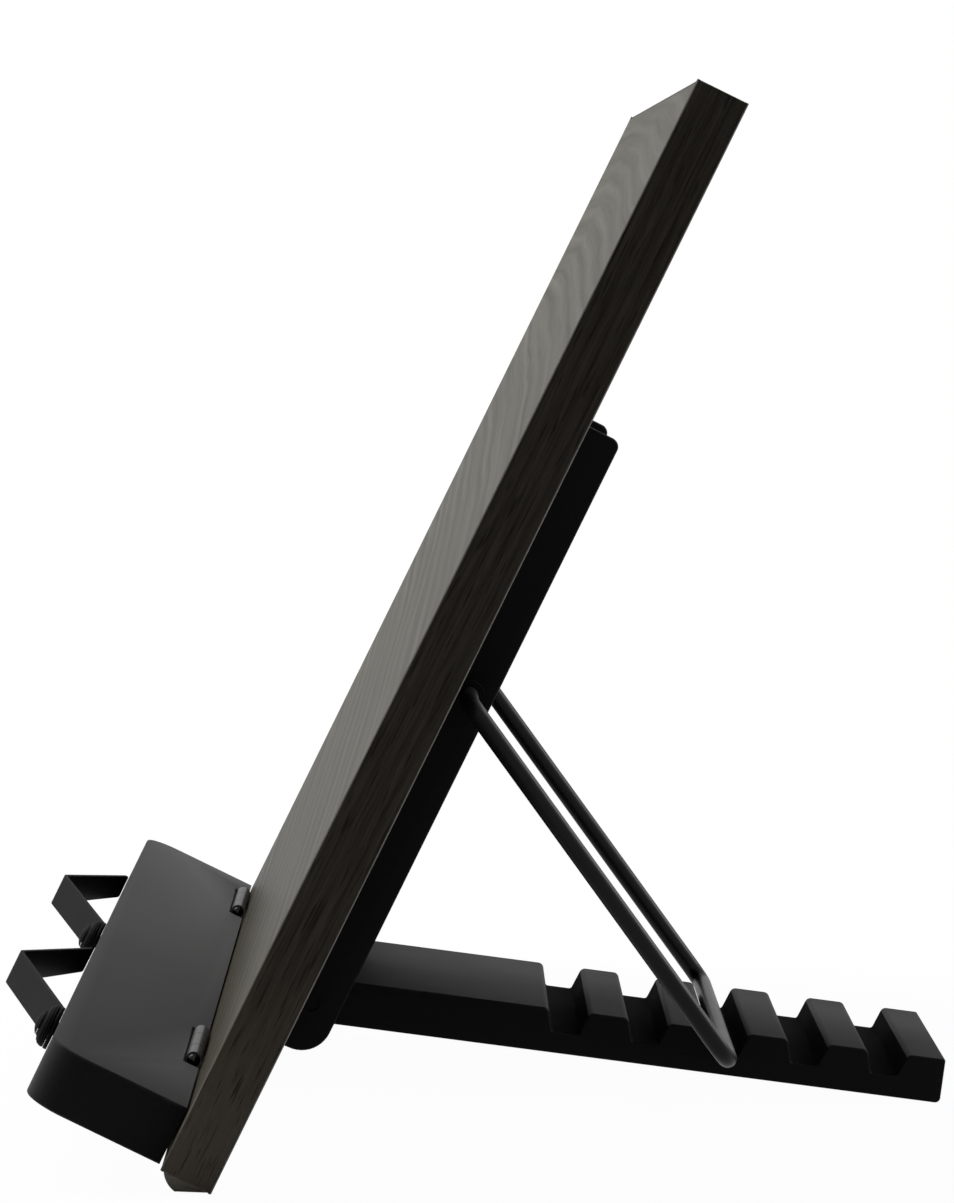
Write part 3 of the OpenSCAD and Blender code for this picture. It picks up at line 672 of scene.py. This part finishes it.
def awayFromHoles(a, b):
    middle = (a + b) / 2
    for pivot in (strutPivot, footPivot):
        if math.hypot(middle.y - pivot.y, middle.z - pivot.z) < housing["pivotRim"]:
            return False
    return all((middle - point).length > housing["screwRim"] for point in fastenerPoints)


bm = nodeCopy("back_housing")
eased = soften(
    bm, housing["round"],
    lambda a, b: awayFromHoles(a, b) and min(a.y, b.y) > housingSeat + housing["seatClear"],
)
print("housing edges eased:", eased)
finishPiece(bm, "backHousing", "back_housing")

# Rear foot: the side edges and the end are eased, the bore stays crisp; the faces inside the notches get a duller
# copy of the black plastic, which paints shade in the notches
foot = {
    "round": 0.45 * mm,
    "hub": 3.2 * mm,
    "end": 2.0 * mm,
    "notchFrom": 0.8 * mm,
    "notchTo": 9.0 * mm,
    "topTurn": 0.7,
    "sideTurn": 0.3,
}
footSide = boardBox("rear_foot")[1].x


def footEdge(a, b):
    middle = (a + b) / 2
    onSide = near(abs(a.x), footSide) and near(abs(b.x), footSide)
    return onSide and math.hypot(middle.y - footPivot.y, middle.z - footPivot.z) > foot["hub"]


bm = nodeCopy("rear_foot")
print("foot edges eased:", soften(bm, foot["round"], footEdge))
topFaces = [face for face in bm.faces if face.normal.z > foot["topTurn"]]
topFace = max(topFaces, key=lambda face: face.calc_area())
upward = topFace.normal.copy()
topMiddle = topFace.calc_center_median()
along = upward.cross(Vector((1, 0, 0)))
reaches = [along.dot(vert.co) for vert in bm.verts]
for face in bm.faces:
    middle = face.calc_center_median()
    depth = upward.dot(topMiddle - middle)
    inside = min(reaches) + foot["end"] < along.dot(middle) < max(reaches) - foot["end"]
    inNotch = inside and foot["notchFrom"] < depth < foot["notchTo"]
    if inNotch and abs(face.normal.x) < foot["sideTurn"]:
        face.material_index = 1
piece = finishPiece(bm, "rearFoot", "rear_foot")
piece.data.materials.append(notchShadePlastic)

# Strut: the wire is smooth as it is; the flat faces of its collars are dull black
strut = {"sharp": 50.0, "collarTurn": 0.9999}
piece = finishPiece(nodeCopy("strut"), "wireStrut", "strut", sharp=strut["sharp"])
piece.data.materials.append(blackPlastic)
for polygon in piece.data.polygons:
    if abs(polygon.normal.x) > strut["collarTurn"]:
        polygon.material_index = 1

# Ledge: its outer edges are eased, above and below
ledge = {"round": 0.5 * mm, "backReach": 0.1 * mm, "backKeep": 3.0 * mm}
ledgeLow, ledgeHigh = boardBox("ledge")


def ledgeOuter(a, b):
    level = near(a.z, b.z) and (near(a.z, ledgeLow.z) or near(a.z, ledgeHigh.z))
    within = max(a.y, b.y) < ledgeHigh.y + ledge["backReach"]
    return level and within and min(a.y, b.y) < ledgeHigh.y - ledge["backKeep"]


bm = nodeCopy("ledge")
print("ledge edges eased:", soften(bm, ledge["round"], ledgeOuter))
finishPiece(bm, "frontLedge", "ledge")

# Hinge leaves and pins keep their shapes
for side in ("left", "right"):
    finishPiece(nodeCopy("board_leaf_" + side), "boardLeaf_" + side, "board_leaf_" + side)
    finishPiece(nodeCopy("ledge_leaf_" + side), "ledgeLeaf_" + side, "ledge_leaf_" + side)
    # the pins take the darker steel copy, painted shade on their ends
    finishPiece(nodeCopy("hinge_pin_" + side), "hingePin_" + side, "hinge_pin_" + side, shadedPinSteel)
finishPiece(nodeCopy("foot_hinge_pin"), "footPin", "foot_hinge_pin", blackPlastic)

# Page holders: eased strips, and on each post a close-wound spring that narrows to the post's head
holder = {"edgeRound": 0.2 * mm, "segments": 2, "angle": 50.0}
spring = {
    "wire": 0.37 * mm,
    "wide": 4.35 * mm,
    "narrow": 2.6 * mm,
    "turns": 3.0,
    "flat": 0.97,
    "settle": 0.1 * mm,
    "steps": 40,
    "sides": 12,
}


def coilWire(low, high):
    # a wire wound up a dome about z, its first and last turns flat, from the wide turn to the narrow one
    bm = bmesh.new()
    upright = Matrix.Rotation(math.radians(90), 4, "X")
    start = Matrix.Translation((spring["wide"], 0, low + spring["wire"])) @ upright
    bmesh.ops.create_circle(bm, radius=spring["wire"], segments=spring["sides"], matrix=start)
    climb = high - low - 2 * spring["wire"]
    wound = bm.verts[:] + bm.edges[:]
    for turns, lift in ((spring["flat"], 0.0), (spring["turns"], climb), (spring["flat"], 0.0)):
        steps = round(spring["steps"] * turns)
        made = bmesh.ops.spin(
            bm, geom=wound, cent=(0, 0, 0), axis=(0, 0, 1), dvec=(0, 0, lift / steps),
            angle=math.tau * turns, steps=steps,
        )
        wound = made["geom_last"]
    bmesh.ops.holes_fill(bm, edges=[edge for edge in bm.edges if edge.is_boundary], sides=0)
    bmesh.ops.recalc_face_normals(bm, faces=bm.faces[:])
    for vert in bm.verts:
        rise = min(max((vert.co.z - low - spring["wire"]) / climb, 0.0), 1.0)
        inward = (spring["wide"] - spring["narrow"]) * (1 - math.sqrt(1 - rise * rise))
        around = Vector((vert.co.x, vert.co.y, 0))
        vert.co -= around.normalized() * inward
    bm.faces.layers.float.new("edgeWearAndHighlight")
    return bm


# a post's frame: z points forward off the ledge
ledgeTurn = Matrix.Rotation(-lean, 4, "X") @ Matrix.Rotation(math.radians(90), 4, "X")
for number in ("1", "2"):
    arm = "holder_arm_" + number
    bm = nodeCopy(arm)
    eased = soften(
        bm, holder["edgeRound"], lambda a, b: True, segments=holder["segments"], angle=holder["angle"],
    )
    print("holder", number, "edges eased:", eased)
    finishPiece(bm, "holderArm_" + number, arm)
    seat = Matrix.Translation(jointAt["holder_" + number + "_swing"]) @ ledgeTurn
    inSeat = seat.inverted()
    coilNode = "holder_spring_" + number
    heights = [(inSeat @ vert.co).z for vert in nodes[coilNode].data.vertices]
    bm = coilWire(min(heights) - spring["settle"], max(heights))
    bm.transform(seat)
    finishPiece(bm, "holderSpring_" + number, coilNode)
    finishPiece(nodeCopy("holder_post_" + number), "holderPost_" + number, "holder_post_" + number)
print("page holders done")

# Floor, light and camera
stageSet = {
    "radius": 8.0,
    "sides": 96,
    "white": (0.9, 0.9, 0.9, 1),
    "roughness": 0.9,
    "specular": 0.1,
    "fade": (0.3, 1.2),
    "nearWhite": 0.97,
}
bm = bmesh.new()
bmesh.ops.create_circle(bm, cap_ends=True, radius=stageSet["radius"], segments=stageSet["sides"])
mesh = bpy.data.meshes.new("floor")
bm.to_mesh(mesh)
bm.free()
floor = bpy.data.objects.new("floor", mesh)
bpy.context.scene.collection.objects.link(floor)
paleFloor, tree, shader = newMaterial("paleFloor")
shader.inputs["Base Color"].default_value = stageSet["white"]
shader.inputs["Roughness"].default_value = stageSet["roughness"]
shader.inputs["Specular IOR Level"].default_value = stageSet["specular"]
away = addNode(tree, "ShaderNodeVectorMath", operation="LENGTH")
feed(tree, away.inputs[0], objectPoint(tree))
fade = remap(tree, away.outputs["Value"], *stageSet["fade"], stageSet["nearWhite"], 1.0)


def seenDirectly(tree):
    # 1 for rays that show the background: camera, mirror and glass rays
    path = addNode(tree, "ShaderNodeLightPath")
    either = math2(tree, "MAXIMUM", path.outputs["Is Camera Ray"], path.outputs["Is Glossy Ray"])
    return math2(tree, "MAXIMUM", either, path.outputs["Is Transmission Ray"])


glow = addNode(tree, "ShaderNodeEmission")
mixShader = addNode(tree, "ShaderNodeMixShader")
feed(tree, mixShader.inputs[0], math2(tree, "MULTIPLY", seenDirectly(tree), fade))
feed(tree, mixShader.inputs[1], shader.outputs[0])
feed(tree, mixShader.inputs[2], glow.outputs[0])
feed(tree, tree.nodes["Material Output"].inputs["Surface"], mixShader.outputs[0])
mesh.materials.append(paleFloor)

light = {
    "sky": 0.055,
    "aim": (0, 0, 0.08),
    "frontLight": {"at": (-0.5, -1.25, 1.0), "size": 1.1, "power": 9.0},
    "topLight": {"at": (-0.5, -0.75, 1.25), "size": 0.9, "power": 18.5},
    "rearLight": {"at": (-0.45, 1.15, 0.72), "size": 0.6, "power": 9.0},
}
world = bpy.data.worlds.new("studio")
bpy.context.scene.world = world
world.use_nodes = True
tree = world.node_tree
backdrop = tree.nodes["Background"]
backdrop.inputs["Color"].default_value = (1, 1, 1, 1)
feed(tree, backdrop.inputs["Strength"], remap(tree, seenDirectly(tree), 0.0, 1.0, light["sky"], 1.0))
for name in ("frontLight", "topLight", "rearLight"):
    softbox = light[name]
    lamp = bpy.data.lights.new(name, "AREA")
    lamp.shape = "SQUARE"
    lamp.size = softbox["size"]
    lamp.energy = softbox["power"]
    lampObject = bpy.data.objects.new(name, lamp)
    lampObject.location = softbox["at"]
    aim = Vector(light["aim"]) - Vector(softbox["at"])
    lampObject.rotation_euler = aim.to_track_quat("-Z", "Y").to_euler()
    bpy.context.scene.collection.objects.link(lampObject)

view = {
    "at": (1.13034, -0.01580, 0.19366),
    "turn": (85.618, -2.250, 89.604),
    "lens": 146.654,
    "sensor": 36.0,
    "clip": 0.01,
}
camera = bpy.data.cameras.new("photoView")
camera.sensor_fit = "VERTICAL"
camera.sensor_height = view["sensor"]
camera.lens = view["lens"]
camera.clip_start = view["clip"]
cameraObject = bpy.data.objects.new("photoView", camera)
cameraObject.location = view["at"]
cameraObject.rotation_euler = [math.radians(turn) for turn in view["turn"]]
bpy.context.scene.collection.objects.link(cameraObject)
bpy.context.scene.camera = cameraObject
bpy.context.scene.view_settings.view_transform = "Standard"
print("stage, light and camera ready")
